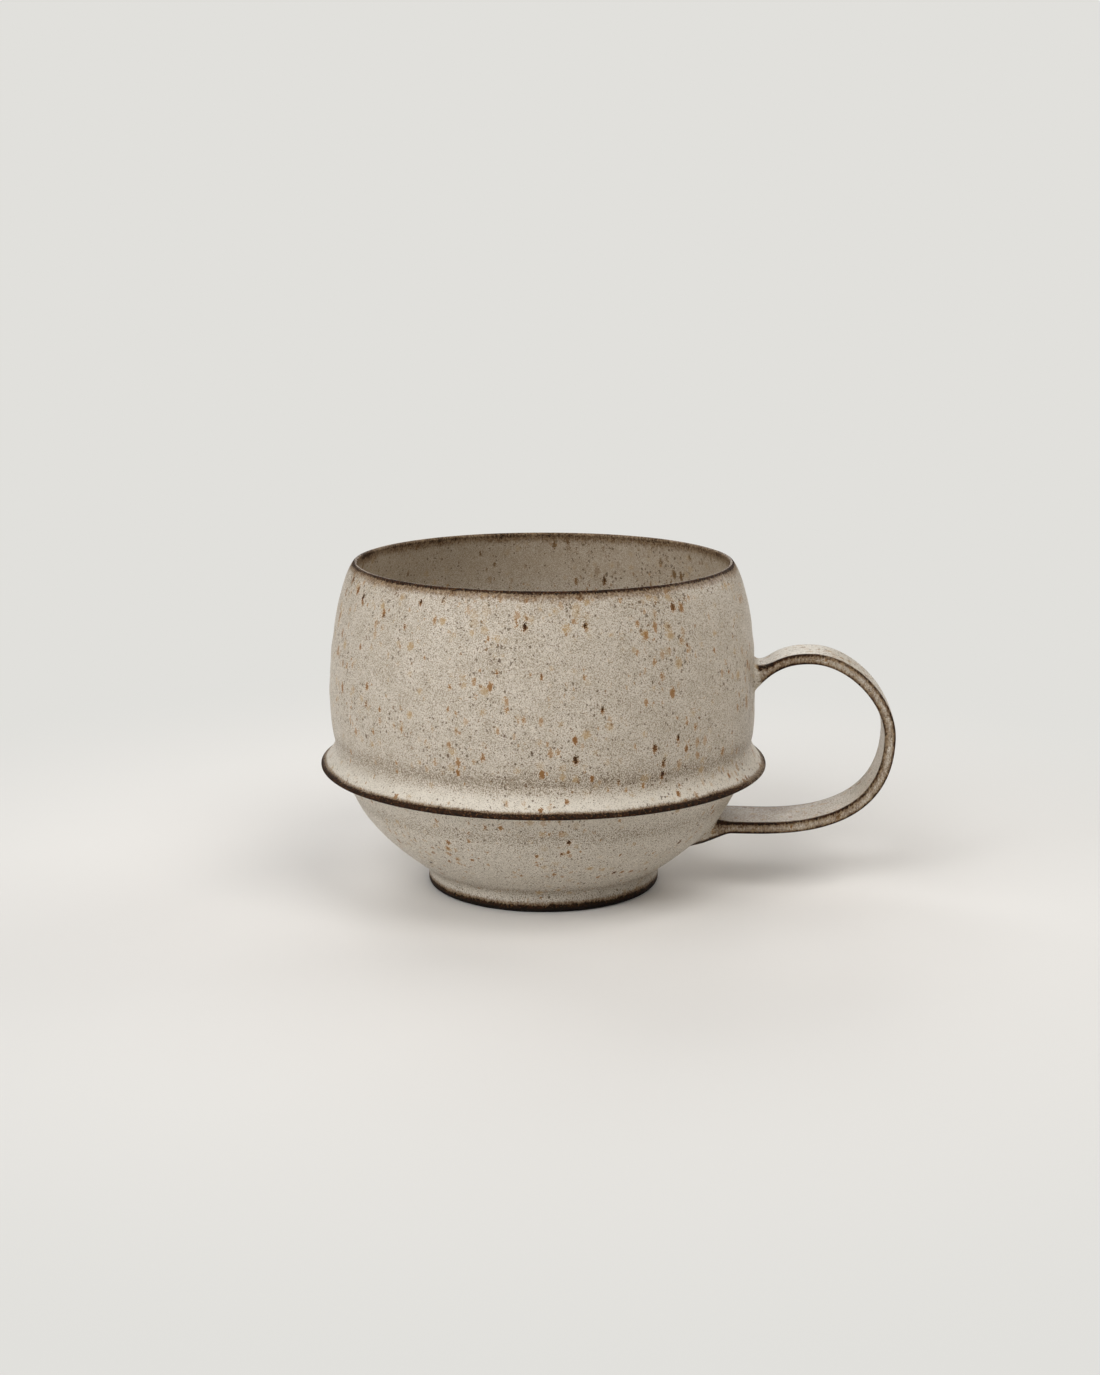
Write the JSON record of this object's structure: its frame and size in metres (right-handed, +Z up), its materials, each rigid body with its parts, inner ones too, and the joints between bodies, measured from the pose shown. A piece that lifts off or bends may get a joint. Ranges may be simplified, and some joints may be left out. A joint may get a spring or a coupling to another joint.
{
  "type": "mug",
  "caption": "Thrown stoneware mug on a turned foot, with a flange round its waist, a speckled satin glaze and a looped strap handle.",
  "frame": {"origin": "centre of the foot's resting face", "axes": "+Z up along the mug's axis, +X through the handle"},
  "size_m": [0.1333, 0.104, 0.0765],
  "materials": {
    "glaze": "satin, warm grey with iron speckles, breaking to dark brown on rim and edges"
  },
  "bodies": {
    "root": {"mug": "glaze"}
  },
  "joints": []
}
